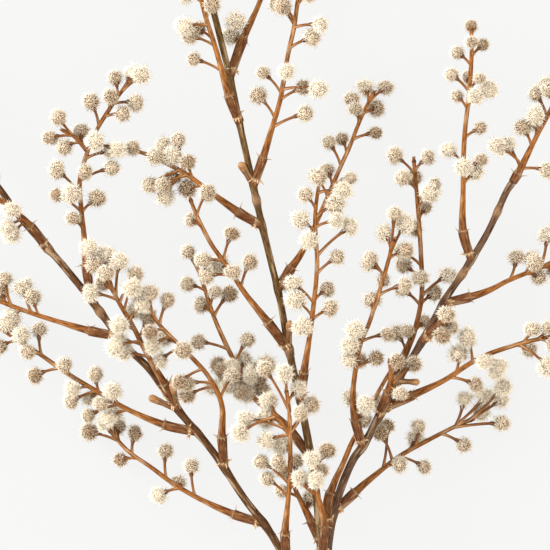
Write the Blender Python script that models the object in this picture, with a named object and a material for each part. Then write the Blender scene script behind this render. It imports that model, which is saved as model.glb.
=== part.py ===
"""A cut branch of wattle in flower, lying on a surface on its own side shoots.

The plan is drawn on a sheet of half-millimetre squares, x to the right and y down from its upper left
corner. A third number is a height in millimetres above the surface. Where a point has no height, it lies
evenly between its neighbours. Everything in a spray grows outward from its foot on the stem.
"""
import functools
import math
import random

import bmesh
import bpy
import numpy as np
from mathutils import Matrix, Quaternion, Vector
from mathutils.geometry import intersect_point_line

# Driving dimensions, in metres
MM = 0.001
SQUARE = 0.5 * MM
SHEET = 550 * SQUARE
GAP = 0.3 * MM
HEAD_RADIUS = 4.4 * MM
HEAD_SIZES = (0.92, 1.04)
REST_HEIGHT = 3.7 * MM
LOW_TWIG = 14 * MM
SETTLING = 2.5 * MM
STALK_RADIUS = 0.85 * MM
STALK_SIDES = 3
STALK_LEAN = 0.8
STALK_BARE_SHARE = 0.35
BARE_ABOVE_RING = 3 * MM
BARE_ABOVE_FORK = 1 * MM
STALK_REACHES = tuple(reach * MM for reach in (7.6, 6.6, 8.8, 5.8, 10.0, 11.5))
OWN_HEADS_APART = 7.4 * MM
SLEEVE_RADIUS = 2.3 * MM
RING_RADIUS = 2.6 * MM
RING_LIP = 1.0 * MM
TOP_RING = 5 * MM
CONE_RADIUS = 2.0 * MM
CONE_LENGTH = 17 * MM
CONE_SHARE = 0.5
TWIG_RADIUS = 1.3 * MM
TIP_RADIUS = 0.95 * MM
FORK_RADIUS = 1.1 * MM
PEG_RADIUS = 1.5 * MM
FOOT_SPAN = 7.5 * MM
STEPS_TO_KNOT = 8
LINE_STEP = 0.25 * MM
STEM_STEP = 15 * MM
TWIG_STEP = 25 * MM
FORK_STATIONS = 3
BALL_STEP = 1.5 * MM
FIRST_BALL = 6 * MM
ALTERNATE_STEP = 9 * MM
ALTERNATE_REACHES = tuple(reach * MM for reach in (4.5, 5.6, 6.7))
SEED = 7

# The stem: the main stem runs on as the middle leader, and the left and right leaders leave it
LEADERS = {
    "middle": {
        "radii": (2.9, 2.6, 2.15, 1.8, 1.7, 1.55),
        "points": [
            (318, 985, 2.75), (319, 925, 2.75), (320, 880, 5), (323, 790), (326, 700), (327, 620),
            (326, 570, 27), (321, 540), (316, 490), (308, 440, 38), (300, 400), (288, 345), (280, 300, 45),
            (268, 250), (262, 225, 47), (252, 180), (240, 125), (232, 85, 49), (222, 45), (213, 10),
            (203, -20, 50), (196, -50, 49),
        ],
    },
    "left": {
        "radii": (2.1, 1.95, 1.85, 1.8, 1.75, 1.6),
        "points": [
            (327, 628, 23), (300, 585), (270, 533), (245, 500, 34), (222, 465), (205, 442), (178, 410),
            (150, 370, 38), (125, 345), (95, 305, 37), (60, 262), (22, 220), (0, 190, 33), (-24, 160),
            (-42, 138, 31),
        ],
    },
    "right": {
        "radii": (2.15, 2.0, 1.85, 1.75, 1.7),
        "points": [
            (326, 585, 26), (329, 540), (338, 498), (352, 462), (365, 443, 38), (385, 405), (398, 380),
            (420, 345, 40), (445, 300), (465, 270), (488, 232, 39), (505, 195), (513, 182, 38),
        ],
    },
}

# Cut-back pegs: a leader, the peg's root and its end
PEGS = [
    ("middle", (292, 345), (290, 321, 50)),
    ("middle", (253, 184), (240, 163, 52)),
    ("left", (178, 409), (149, 397, 35)),
    ("right", (398, 381), (419, 382, 44)),
    ("middle", (207, -8), (196, -22, 55)),
]

# A spray: its leader, its route from the foot over the ring outward, its side twigs, its heads in plan,
# how many more heads follow one another along the far end of the route, and the size of its heads
SPRAYS = {
    "left_1": {
        "leader": "left",
        "route": [(194, 434), (164, 425), (128, 410), (97, 392), (70, 376), (35, 352), (10, 336, 18),
                  (-18, 318), (-45, 306, 10)],
        "heads": [(108, 418), (100, 404), (112, 392), (70, 402), (88, 416), (72, 390), (95, 375),
                  (64, 365), (34, 376), (38, 330), (20, 335), (9, 318), (27, 352), (-2, 347)],
        "more": 4,
    },
    "left_2": {
        "leader": "left",
        "route": [(224, 468), (222, 436, 44), (222, 405), (210, 378), (190, 355), (163, 328), (147, 306, 62)],
        "heads": [(188, 383), (190, 397), (232, 375), (184, 350), (150, 352), (165, 338), (155, 370),
                  (168, 300), (150, 293), (140, 300)],
    },
    "left_3": {
        "leader": "left",
        "route": [(178, 408), (164, 383, 47), (148, 355, 54), (133, 325), (120, 303), (110, 281, 65)],
        "heads": [(90, 248), (95, 265), (120, 262), (107, 273), (92, 293), (103, 283), (136, 274),
                  (133, 288), (120, 325), (120, 340), (125, 352), (143, 304), (149, 317)],
    },
    "left_4": {
        "leader": "left",
        "route": [(91, 300), (86, 265, 41), (84, 235), (81, 205), (80, 180), (86, 157), (97, 130),
                  (118, 97), (130, 82, 48)],
        "forks": [[(87, 152), (75, 137), (62, 130)]],
        "heads": [(141, 76), (132, 74), (115, 78), (111, 97), (136, 103), (123, 114), (91, 102),
                  (59, 118), (50, 138), (64, 147), (81, 131), (96, 142), (110, 151),
                  (112, 168), (57, 170), (86, 172), (57, 195), (97, 198), (73, 218)],
    },
    "left_5": {
        "leader": "left",
        "route": [(117, 337), (90, 331), (52, 320), (27, 312), (0, 302, 17), (-32, 288), (-50, 276, 10)],
        "heads": [(32, 297), (22, 288), (10, 320), (3, 279)],
        "more": 4,
    },
    "left_6": {
        "leader": "left",
        "route": [(263, 524), (234, 515), (200, 500), (172, 484), (150, 468), (127, 452), (107, 430, 9)],
        "heads": [(191, 467), (177, 484), (158, 496), (165, 452), (119, 461), (134, 434), (88, 433),
                  (113, 415), (104, 422), (117, 428)],
    },
    "left_7": {
        "leader": "left",
        "route": [(286, 562), (285, 533, 40), (288, 500, 50), (290, 470), (290, 440), (289, 410),
                  (286, 388, 70)],
        "forks": [[(290, 436), (282, 422), (272, 412)], [(290, 432), (297, 422), (303, 414)]],
        "heads": [(267, 478), (261, 461), (278, 461), (267, 440), (240, 432), (246, 418), (315, 480),
                  (300, 478), (268, 400), (266, 418), (300, 412), (311, 404), (298, 388), (265, 368),
                  (285, 373)],
    },
    "left_8": {
        "leader": "left",
        "route": [(46, 248), (30, 226, 42), (15, 212, 44), (-5, 196), (-22, 184, 46)],
        "heads": [(12, 210), (12, 235), (-8, 178), (-22, 200), (-32, 178)],
    },
    "left_top": {
        "leader": "left",
        "route": [(-42, 138), (-56, 118, 30), (-66, 95), (-74, 70), (-80, 45, 26)],
        "heads": [],
        "more": 5,
    },
    "middle_1": {
        "leader": "middle",
        "route": [(253, 186), (263, 158, 50), (270, 135), (279, 105), (283, 85), (288, 55), (294, 28),
                  (298, 0), (304, -30), (312, -58, 60)],
        "heads": [(258, 96), (263, 73), (286, 73), (303, 88), (317, 90), (305, 114), (312, 38),
                  (321, 28), (283, 8), (277, 5)],
        "more": 5,
    },
    "middle_2": {
        "leader": "middle",
        "route": [(231, 76), (243, 39, 44), (257, 8), (268, -22), (276, -50), (283, -78, 10)],
        "heads": [(236, 22)],
        "more": 5,
    },
    "middle_3": {
        "leader": "middle",
        "route": [(239, 122), (229, 96, 56), (216, 50, 59), (205, 15), (198, -12), (186, -42, 62)],
        "heads": [(190, 37), (194, 60), (185, 28)],
        "more": 5,
    },
    "middle_4": {
        "leader": "middle",
        "route": [(262, 226), (238, 212, 46), (205, 188), (185, 173), (155, 158), (140, 152), (124, 150, 36)],
        "heads": [(133, 148), (178, 140), (163, 146), (155, 157), (188, 162), (150, 185), (163, 185),
                  (172, 178), (165, 196), (187, 188), (208, 195)],
    },
    "middle_5": {
        "leader": "middle",
        "route": [(289, 350), (268, 322, 48), (245, 293), (228, 267), (212, 245), (198, 218), (190, 198, 55)],
        "heads": [(232, 234), (208, 192), (191, 220), (220, 265), (233, 272), (207, 275), (203, 260),
                  (250, 262)],
    },
    "middle_6": {
        "leader": "middle",
        "route": [(311, 458), (285, 425), (256, 400), (247, 385), (231, 355), (215, 320), (205, 290),
                  (198, 270), (191, 257, 28)],
        "heads": [(188, 252), (187, 284), (201, 305), (215, 292), (229, 294), (198, 342), (247, 340),
                  (218, 365), (232, 375), (243, 360), (250, 377), (262, 390), (240, 392), (225, 383),
                  (213, 388), (264, 368)],
    },
    "middle_7": {
        "leader": "middle",
        "route": [(300, 400), (304, 372, 50), (309, 340, 54), (313, 310), (317, 265), (315, 220),
                  (318, 190), (320, 180, 62)],
        "heads": [(305, 195), (318, 178), (300, 220), (309, 240), (335, 205), (338, 215), (343, 195),
                  (350, 227), (337, 257), (327, 289), (330, 308), (296, 300), (305, 325), (293, 283)],
    },
    "middle_8": {
        "leader": "middle",
        "route": [(276, 290), (291, 268, 42), (303, 250), (322, 210), (340, 168), (350, 146), (362, 116),
                  (375, 90, 10)],
        "heads": [(386, 86), (366, 86), (352, 98), (356, 108), (377, 107), (376, 132), (329, 142),
                  (342, 138), (350, 178), (316, 176), (327, 170), (285, 283)],
    },
    "middle_9": {
        "leader": "middle",
        "route": [(323, 553), (324, 524, 47), (320, 503, 54), (315, 487), (311, 470, 60)],
        "forks": [[(318, 495), (308, 488), (302, 480)]],
        "heads": [(316, 478), (321, 470), (299, 476), (312, 458), (327, 450)],
    },
    "middle_10": {
        "leader": "middle",
        "route": [(321, 545), (311, 522, 25), (304, 508), (297, 494), (290, 478, 21)],
        "heads": [(281, 470), (296, 462), (310, 500), (282, 492)],
    },
    "middle_top": {
        "leader": "middle",
        "route": [(196, -50), (192, -70, 49), (190, -90), (192, -112), (197, -135, 44)],
        "heads": [],
        "more": 5,
    },
    "right_1": {
        "leader": "right",
        "head_share": 0.8,
        "route": [(472, 260), (463, 231, 41), (463, 190), (464, 140), (468, 100), (471, 60), (471, 27, 50)],
        "heads": [(471, 26), (471, 43), (483, 45), (457, 53), (451, 75), (468, 77), (479, 79), (489, 90),
                  (475, 97), (457, 96), (480, 128), (448, 150), (463, 167), (475, 172), (481, 160)],
    },
    "right_2": {
        "leader": "right",
        "route": [(443, 303), (470, 297), (490, 290), (510, 280), (545, 266), (575, 252), (600, 244, 11)],
        "heads": [(517, 257), (535, 262), (548, 235), (540, 277)],
        "more": 5,
    },
    "right_3": {
        "leader": "right",
        "route": [(383, 408), (413, 395), (445, 380), (480, 358), (520, 344), (545, 338, 30), (580, 330),
                  (602, 322, 22)],
        "heads": [(459, 354), (465, 337), (476, 385), (500, 365), (485, 362), (530, 350), (548, 367),
                  (548, 328)],
        "more": 5,
    },
    "right_4": {
        "leader": "right",
        "route": [(335, 512), (355, 493), (370, 480), (400, 457), (427, 442), (457, 427), (475, 420, 10)],
        "heads": [(387, 427), (380, 432), (400, 465), (425, 468), (419, 427), (416, 440), (465, 446),
                  (465, 400), (483, 413), (487, 397), (505, 392), (500, 403), (503, 424)],
    },
    "right_5": {
        "leader": "right",
        "route": [(363, 447), (355, 420, 43), (353, 400), (354, 380), (360, 345), (370, 320), (384, 275),
                  (394, 238, 58)],
        "heads": [(355, 330), (350, 345), (360, 360), (376, 358), (387, 334),
                  (383, 280), (370, 258), (404, 285), (384, 233), (394, 214), (404, 224), (405, 250),
                  (372, 300), (350, 397), (366, 404), (363, 420)],
    },
    "right_6": {
        "leader": "right",
        "route": [(394, 386), (404, 357, 33), (415, 330, 31), (422, 295), (421, 250), (418, 205),
                  (415, 170), (414, 158, 30)],
        "heads": [(395, 155), (428, 157), (403, 178), (415, 177), (435, 185), (430, 193), (426, 207),
                  (415, 228), (403, 252), (404, 265), (420, 278), (448, 275), (435, 293), (402, 289),
                  (407, 331), (397, 333), (425, 322)],
    },
    "right_7": {
        "leader": "right",
        "route": [(422, 341), (441, 324, 44), (452, 312, 48)],
        "heads": [(442, 336), (451, 327), (446, 314)],
    },
    "right_8": {
        "leader": "right",
        "route": [(379, 416), (388, 392, 47), (391, 376), (389, 359, 50)],
        "heads": [(397, 361), (378, 405), (400, 393), (414, 364)],
    },
    "right_top": {
        "leader": "right",
        "route": [(513, 182), (520, 170, 37), (530, 150), (540, 130), (550, 112), (562, 85), (570, 55, 30)],
        "heads": [(508, 145), (523, 127), (536, 122), (536, 93), (547, 170), (548, 90)],
        "more": 5,
    },
}

# Looks: colour, then roughness
LOOKS = {
    "bark": ((0.20, 0.12, 0.06, 1), 0.75),
    "twig": ((0.42, 0.20, 0.09, 1), 0.7),
    "head": ((0.72, 0.64, 0.5, 1), 0.95),
}
STALK_FLARE = (1.3, 1.1)
PEG_FLARE = (1.15, 1.0)
WELD = 1e-6


def clear_scene():
    for thing in list(bpy.data.objects):
        bpy.data.objects.remove(thing)


def new_collection(name):
    collection = bpy.data.collections.new(name)
    bpy.context.scene.collection.children.link(collection)
    return collection


def plain_material(name, look):
    colour, roughness = LOOKS[look]
    material = bpy.data.materials.new(name)
    material.use_nodes = True
    shader = material.node_tree.nodes["Principled BSDF"]
    shader.inputs["Base Color"].default_value = colour
    shader.inputs["Roughness"].default_value = roughness
    shader.inputs["Metallic"].default_value = 0.0
    return material


class Line:
    """A smooth line through points set by hand, read by the distance along it."""

    def __init__(self, points):
        self.knots = np.array(points, float)
        steps = np.arange(STEPS_TO_KNOT) / STEPS_TO_KNOT
        ends = np.vstack([2 * self.knots[0] - self.knots[1], self.knots, 2 * self.knots[-1] - self.knots[-2]])
        places = []
        for before, start, end, after in zip(ends, ends[1:], ends[2:], ends[3:]):
            for t in steps:
                bend = (2 * before - 5 * start + 4 * end - after) * t * t
                turn = (3 * start - before - 3 * end + after) * t * t * t
                places.append(0.5 * (2 * start + (end - before) * t + bend + turn))
        places.append(self.knots[-1])
        self.places = np.array(places)
        self.marks = np.concatenate([[0], np.cumsum(np.linalg.norm(np.diff(self.places, axis=0), axis=1))])
        self.length = self.marks[-1]
        self.knot_marks = self.marks[::STEPS_TO_KNOT]

    def at(self, mark):
        return Vector([np.interp(mark, self.marks, column) for column in self.places.T])

    def along(self, mark):
        ahead = self.at(min(mark + 2 * LINE_STEP, self.length))
        return (ahead - self.at(max(mark - 2 * LINE_STEP, 0))).normalized()

    def nearest(self, x, y):
        """The distance along the line to its point nearest to x, y in plan."""
        marks = np.arange(0, self.length, LINE_STEP)
        flat = [np.interp(marks, self.marks, column) for column in self.places.T[:2]]
        return float(marks[np.argmin(np.hypot(flat[0] - x, flat[1] - y))])


def on_sheet(x, y):
    return x * SQUARE, SHEET - y * SQUARE


def laid_out(points, first_height=None):
    """Sheet points as places in metres, with the heights between those given filled in evenly."""
    flat = np.array([on_sheet(*point[:2]) for point in points])
    marks = np.concatenate([[0], np.cumsum(np.linalg.norm(np.diff(flat, axis=0), axis=1))])
    known = [(mark, point[2] * MM) for mark, point in zip(marks, points) if len(point) > 2]
    if first_height is not None:
        known.insert(0, (0, first_height))
    heights = np.interp(marks, *zip(*known))
    return np.column_stack([flat, heights])


def leader_radius(leader, mark):
    radii = LEADERS[leader]["radii"]
    return float(np.interp(mark / LINES[leader].length, np.linspace(0, 1, len(radii)), radii)) * MM


def cone_end(spray):
    return spray["ring"] + min(CONE_LENGTH, CONE_SHARE * (spray["line"].length - spray["ring"]))


def spray_radius(spray, mark):
    """The sleeve as far as the ring, then a cone, then the slim twig."""
    ring = spray["ring"]
    marks = (0, ring, ring + RING_LIP, cone_end(spray), spray["line"].length)
    radii = (SLEEVE_RADIUS, RING_RADIUS, CONE_RADIUS, TWIG_RADIUS, TIP_RADIUS)
    return float(np.interp(mark, marks, radii))


def laid_spray(name):
    """A spray's axis, starting on its leader's axis, and the plane that its foot is cut on."""
    plan = SPRAYS[name]
    leader = LINES[plan["leader"]]
    mark = leader.nearest(*on_sheet(*plan["route"][0]))
    start = leader.at(mark)
    places = laid_out(plan["route"], start.z)
    places[0] = start
    line = Line(places)
    spray = {"name": name, "line": line, "ring": line.knot_marks[1], "leader_mark": mark}
    ring_way = (line.at(spray["ring"]) - start).normalized()
    tangent = leader.along(mark)
    if mark > leader.length - 2 * LINE_STEP:
        spray["foot"] = (leader.at(leader.length) + GAP * tangent, tangent)
        spray["ring"] = TOP_RING
        return spray
    away = (ring_way - ring_way.dot(tangent) * tangent).normalized()
    spray["foot"] = (start + (leaders_reach(start, away) + GAP) * away, away)
    return spray


def leaders_reach(start, away):
    """How far the leaders stand out towards a spray, over the length that the spray's foot covers."""
    reach = 0
    for name, line in LINES.items():
        for place, radius in balls_along(line, lambda mark: leader_radius(name, mark)):
            if (place - start).length < FOOT_SPAN:
                reach = max(reach, (place - start).dot(away) + radius)
    return reach


class Room:
    """The space already taken, as balls with the number of the piece they belong to."""

    def __init__(self):
        self.balls = np.zeros((0, 5))

    def take(self, balls, owner):
        rows = [(*place, radius, owner) for place, radius in balls]
        self.balls = np.vstack([self.balls, rows])

    def clearance(self, balls, owner, same=False):
        """The narrowest gap from the balls to another piece, or to the same piece."""
        mine = self.balls[:, 4] == owner
        others = self.balls[mine if same else ~mine]
        if not len(others):
            return math.inf
        places = np.array([tuple(place) for place, _ in balls])
        radii = np.array([radius for _, radius in balls])
        apart = np.linalg.norm(places[:, None] - others[None, :, :3], axis=2)
        return float((apart - radii[:, None] - others[None, :, 3]).min())


def balls_along(line, radius_at, start=0.0):
    marks = np.arange(start, line.length + BALL_STEP / 2, BALL_STEP)
    return [(line.at(mark), radius_at(mark)) for mark in marks]


def balls_between(start, end, radius):
    count = max(2, math.ceil((end - start).length / BALL_STEP))
    return [(start.lerp(end, i / count), radius) for i in range(count + 1)]


def following_heads(line, count):
    """Plan places of heads that follow one another on alternate sides up to the tip."""
    places = []
    for i in range(count):
        mark = max(line.length - i * ALTERNATE_STEP, 0)
        side = (-1) ** i * ALTERNATE_REACHES[i % len(ALTERNATE_REACHES)]
        tangent = line.along(mark)
        place = line.at(mark) + side * Vector((-tangent.y, tangent.x, 0))
        places.append((place.x, place.y))
    return places


def grown_head(spray, owner, place, room, draw):
    """The first stalk and head for a place in plan that keeps clear of all that is there already."""
    axes = [spray["line"], *spray["forks"]]
    axis = min(axes, key=lambda line: (line.at(line.nearest(*place)).xy - Vector(place)).length)
    mark = axis.nearest(*place)
    beside = axis.at(mark)
    offset = (beside.xy - Vector(place)).length
    size = HEAD_RADIUS * SPRAYS[spray["name"]].get("head_share", 1) * draw.uniform(*HEAD_SIZES)
    first_side = draw.choice((1, -1)) if beside.z > LOW_TWIG else -1
    lowest_root = spray["ring"] + BARE_ABOVE_RING if axis is spray["line"] else BARE_ABOVE_FORK
    for strict in (True, False):
        for reach in STALK_REACHES:
            for side in (first_side, -first_side):
                across = max(reach, offset)
                height = beside.z + side * math.sqrt(across ** 2 - offset ** 2)
                rests = height < size + SETTLING
                centre = Vector((*place, REST_HEIGHT * size / HEAD_RADIUS if rests else height))
                root_mark = max(mark - STALK_LEAN * across, min(lowest_root, axis.length))
                root = axis.at(root_mark)
                stalk = balls_between(root.lerp(centre, STALK_BARE_SHARE), centre, STALK_RADIUS)
                if room.clearance([(centre, size), *stalk], owner) < GAP:
                    continue
                own = room.clearance([(centre, OWN_HEADS_APART - size)], owner + 0.5, same=True)
                if strict and own < 0:
                    continue
                turn = draw.uniform(0, math.tau)
                return {"root": root, "centre": centre, "size": size, "turn": turn, "rests": rests}
    return None


def laid_branch():
    """All sprays with their heads, placed one after another so that none crosses another piece."""
    room = Room()
    for name, line in LINES.items():
        room.take(balls_along(line, lambda mark: leader_radius(name, mark)), 0)
    sprays = [laid_spray(name) for name in SPRAYS]
    for owner, spray in enumerate(sprays, 1):
        plan = SPRAYS[spray["name"]]
        line = spray["line"]
        room.take(balls_along(line, lambda mark: spray_radius(spray, mark), FIRST_BALL), owner)
        spray["forks"] = []
        for fork in plan.get("forks", []):
            mark = line.nearest(*on_sheet(*fork[0]))
            places = laid_out(fork, line.at(mark).z)
            places[0] = line.at(mark)
            branch = Line(places)
            spray["forks"].append(branch)
            room.take(balls_along(branch, lambda _: FORK_RADIUS), owner)
    draw = random.Random(SEED)
    for owner, spray in enumerate(sprays, 1):
        plan = SPRAYS[spray["name"]]
        places = [on_sheet(*head) for head in plan["heads"]]
        places += following_heads(spray["line"], plan.get("more", 0))
        spray["heads"] = []
        for place in places:
            head = grown_head(spray, owner, place, room, draw)
            if head is None:
                continue
            spray["heads"].append(head)
            room.take([(head["centre"], head["size"])], owner)
            room.take([(head["centre"], OWN_HEADS_APART - head["size"])], owner + 0.5)
            room.take(balls_between(head["root"], head["centre"], STALK_RADIUS), owner)
    return sprays


def tube(name, places, radii, roundness, collection):
    """A closed tube through places, as a mesh with welded caps."""
    curve = bpy.data.curves.new(name, "CURVE")
    curve.dimensions = "3D"
    curve.bevel_depth = MM
    curve.bevel_resolution = roundness
    curve.use_fill_caps = True
    spline = curve.splines.new("POLY")
    spline.points.add(len(places) - 1)
    for point, place, radius in zip(spline.points, places, radii):
        point.co = (*place, 1)
        point.radius = radius / MM
    thing = bpy.data.objects.new(name + "_curve", curve)
    collection.objects.link(thing)
    depsgraph = bpy.context.evaluated_depsgraph_get()
    mesh = bpy.data.meshes.new_from_object(thing.evaluated_get(depsgraph))
    body = bpy.data.objects.new(name, mesh)
    body.matrix_world = thing.matrix_world
    collection.objects.link(body)
    bpy.data.objects.remove(thing)
    welded = bmesh.new()
    welded.from_mesh(mesh)
    bmesh.ops.remove_doubles(welded, verts=welded.verts, dist=WELD)
    bmesh.ops.recalc_face_normals(welded, faces=welded.faces)
    welded.to_mesh(mesh)
    welded.free()
    return body


def tube_along(name, line, marks, radius_at, roundness, collection):
    return tube(name, [line.at(m) for m in marks], [radius_at(m) for m in marks], roundness, collection)


def cut_off(mesh, place, outward):
    """Takes away what lies behind a plane and closes the cut with a flat face."""
    shape = bmesh.new()
    shape.from_mesh(mesh)
    cut = {"geom": shape.verts[:] + shape.edges[:] + shape.faces[:], "dist": WELD / 10}
    bmesh.ops.bisect_plane(shape, plane_co=place, plane_no=outward, clear_inner=True, **cut)
    rim = [edge for edge in shape.edges if edge.is_boundary]
    bmesh.ops.holes_fill(shape, edges=rim, sides=0)
    bmesh.ops.recalc_face_normals(shape, faces=shape.faces)
    shape.to_mesh(mesh)
    shape.free()


def press_on_surface(mesh):
    if min(vertex.co.z for vertex in mesh.vertices) < 0:
        cut_off(mesh, (0, 0, 0), (0, 0, 1))


def unite(body, repeats):
    """Fuses a collection's objects into a body, and removes them."""
    joint = body.modifiers.new("grown together", "BOOLEAN")
    joint.operation = "UNION"
    joint.operand_type = "COLLECTION"
    joint.collection = repeats
    joint.solver = "EXACT"
    joint.material_mode = "TRANSFER"
    depsgraph = bpy.context.evaluated_depsgraph_get()
    mesh = bpy.data.meshes.new_from_object(body.evaluated_get(depsgraph))
    body.modifiers.clear()
    body.data = mesh
    for thing in list(repeats.objects):
        bpy.data.objects.remove(thing)
    bpy.data.collections.remove(repeats)


def head_form():
    """The ball that every head is a copy of, one metre in radius."""
    shape = bmesh.new()
    bmesh.ops.create_icosphere(shape, subdivisions=1, radius=1)
    mesh = bpy.data.meshes.new("head form")
    shape.to_mesh(mesh)
    shape.free()
    return mesh


def stalk_form():
    """The stalk that every stalk is a copy of, one metre long and one metre in radius at its middle."""
    shape = bmesh.new()
    low, high = STALK_FLARE
    bmesh.ops.create_cone(shape, segments=STALK_SIDES, radius1=low, radius2=high, depth=1, cap_ends=True)
    mesh = bpy.data.meshes.new("stalk form")
    shape.to_mesh(mesh)
    shape.free()
    return mesh


def nearest_on_runs(place, runs):
    """The point nearest to a place on the straight runs that the twigs are built of."""
    points = []
    for start, end in runs:
        _, share = intersect_point_line(place, start, end)
        points.append(start.lerp(end, min(max(share, 0), 1)))
    return min(points, key=lambda point: (point - place).length)


def add_head(head, runs, forms, repeats):
    """A stalk from the twig's middle to the head's middle, and the head."""
    root = nearest_on_runs(head["root"], runs)
    way = head["centre"] - root
    stalk = bpy.data.objects.new("stalk", forms["stalk"])
    turned = way.to_track_quat("Z", "Y") @ Quaternion((0, 0, 1), head["turn"])
    size = Matrix.Diagonal((STALK_RADIUS, STALK_RADIUS, way.length, 1))
    stalk.matrix_world = Matrix.Translation(root + way / 2) @ turned.to_matrix().to_4x4() @ size
    repeats.objects.link(stalk)
    ball = bpy.data.objects.new("head", forms["head"])
    turned = Quaternion((0, 0, 1), head["turn"])
    if not head["rests"]:
        turned = (-way).to_track_quat("Z", "Y") @ turned @ forms["face_up"]
    ball.matrix_world = Matrix.LocRotScale(head["centre"], turned, Vector((head["size"],) * 3))
    repeats.objects.link(ball)


def spray_marks(spray):
    length = spray["line"].length
    near = [0, spray["ring"], spray["ring"] + RING_LIP]
    count = math.ceil((length - cone_end(spray)) / TWIG_STEP)
    return near + list(np.linspace(cone_end(spray), length, count + 1))


def build_spray(spray, forms, branch):
    """One spray: its twig with sleeve, ring and cone, its side twigs, and its stalked heads."""
    name = "spray_" + spray["name"]
    radius_at = functools.partial(spray_radius, spray)
    marks = spray_marks(spray)
    stations = [spray["line"].at(mark) for mark in marks]
    runs = list(zip(stations, stations[1:]))
    body = tube_along(name, spray["line"], marks, radius_at, 1, branch)
    cut_off(body.data, *spray["foot"])
    body.data.materials.append(plain_material(name + "_twig", "twig"))
    repeats = new_collection(name + "_repeats")
    for fork in spray["forks"]:
        marks = np.linspace(0, fork.length, FORK_STATIONS)
        stations = [fork.at(mark) for mark in marks]
        runs += zip(stations, stations[1:])
        tube_along("fork", fork, marks, lambda _: FORK_RADIUS, 1, repeats)
    for head in spray["heads"]:
        add_head(head, runs, forms, repeats)
    unite(body, repeats)
    press_on_surface(body.data)
    return body


def build_stem(branch):
    """The stem with its three leaders and cut-back pegs, grown as one piece."""
    line = LINES["middle"]
    marks = np.linspace(0, line.length, round(line.length / STEM_STEP) + 1)
    body = tube_along("stem", line, marks, lambda mark: leader_radius("middle", mark), 1, branch)
    body.data.materials.append(plain_material("stem_bark", "bark"))
    grown = new_collection("stem_leaders")
    for name in ("left", "right"):
        line = LINES[name]
        marks = np.linspace(0, line.length, round(line.length / STEM_STEP) + 1)
        tube_along(name, line, marks, lambda mark: leader_radius(name, mark), 1, grown)
    for leader, root, end in PEGS:
        start = LINES[leader].at(LINES[leader].nearest(*on_sheet(*root)))
        tip = Vector((*on_sheet(*end[:2]), end[2] * MM))
        tube("peg", [start, tip], [PEG_RADIUS * flare for flare in PEG_FLARE], 1, grown)
    unite(body, grown)
    press_on_surface(body.data)
    return body


def centre_over_origin(pieces):
    """Moves all pieces so that the middle of their box is over the origin."""
    corners = [piece.matrix_world @ Vector(corner) for piece in pieces for corner in piece.bound_box]
    corners = np.array(corners)
    middle = (corners.min(axis=0) + corners.max(axis=0)) / 2
    for piece in pieces:
        piece.location = (-middle[0], -middle[1], 0)


LINES = {name: Line(laid_out(plan["points"])) for name, plan in LEADERS.items()}


def main():
    clear_scene()
    branch = new_collection("wattle branch")
    forms = {"head": head_form(), "stalk": stalk_form()}
    forms["face_up"] = forms["head"].polygons[0].normal.rotation_difference(Vector((0, 0, 1)))
    forms["head"].materials.append(plain_material("flower_heads", "head"))
    forms["stalk"].materials.append(plain_material("stalks", "twig"))
    pieces = [build_stem(branch)]
    for spray in laid_branch():
        pieces.append(build_spray(spray, forms, branch))
    bpy.context.view_layer.update()
    centre_over_origin(pieces)


main()
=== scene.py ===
"""The looks of a cut wattle branch: furrowed bark, ringed sleeves with torn shreds, and fluffy heads.

The layout is the one that the solids were built from. The plan is drawn on a sheet of half-millimetre
squares, x to the right and y down from its upper left corner. A third number is a height in millimetres.
Each vertex carries three facts. On wood they say how pale, how old and how dark it is, and on a flower head
how far out it lies, which sets the painted shade deep among its fibres, how brown the head is, and how much
painted shade that side gets because it faces away from the light.
"""
import math
import random
from collections import namedtuple
from itertools import product

import bmesh
import bpy
import numpy as np
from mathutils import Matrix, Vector


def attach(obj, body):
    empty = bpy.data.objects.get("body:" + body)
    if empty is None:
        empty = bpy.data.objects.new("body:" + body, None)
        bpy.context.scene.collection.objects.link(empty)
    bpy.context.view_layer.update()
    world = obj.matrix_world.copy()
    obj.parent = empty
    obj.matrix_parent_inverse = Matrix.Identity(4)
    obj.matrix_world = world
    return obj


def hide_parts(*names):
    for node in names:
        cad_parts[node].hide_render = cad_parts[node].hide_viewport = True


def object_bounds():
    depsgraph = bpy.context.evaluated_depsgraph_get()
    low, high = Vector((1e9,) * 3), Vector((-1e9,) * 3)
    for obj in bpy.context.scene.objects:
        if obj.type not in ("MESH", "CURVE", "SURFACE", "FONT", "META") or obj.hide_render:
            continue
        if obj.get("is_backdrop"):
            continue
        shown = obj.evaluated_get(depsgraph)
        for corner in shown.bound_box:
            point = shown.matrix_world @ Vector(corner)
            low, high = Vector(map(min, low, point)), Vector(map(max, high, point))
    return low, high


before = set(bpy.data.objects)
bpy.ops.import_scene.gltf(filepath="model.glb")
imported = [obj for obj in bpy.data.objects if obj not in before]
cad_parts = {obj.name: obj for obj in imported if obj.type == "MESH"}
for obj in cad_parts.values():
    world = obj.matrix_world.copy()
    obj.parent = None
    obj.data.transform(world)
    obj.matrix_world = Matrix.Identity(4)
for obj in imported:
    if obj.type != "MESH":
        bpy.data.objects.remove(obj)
bounds_of_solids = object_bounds()

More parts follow.
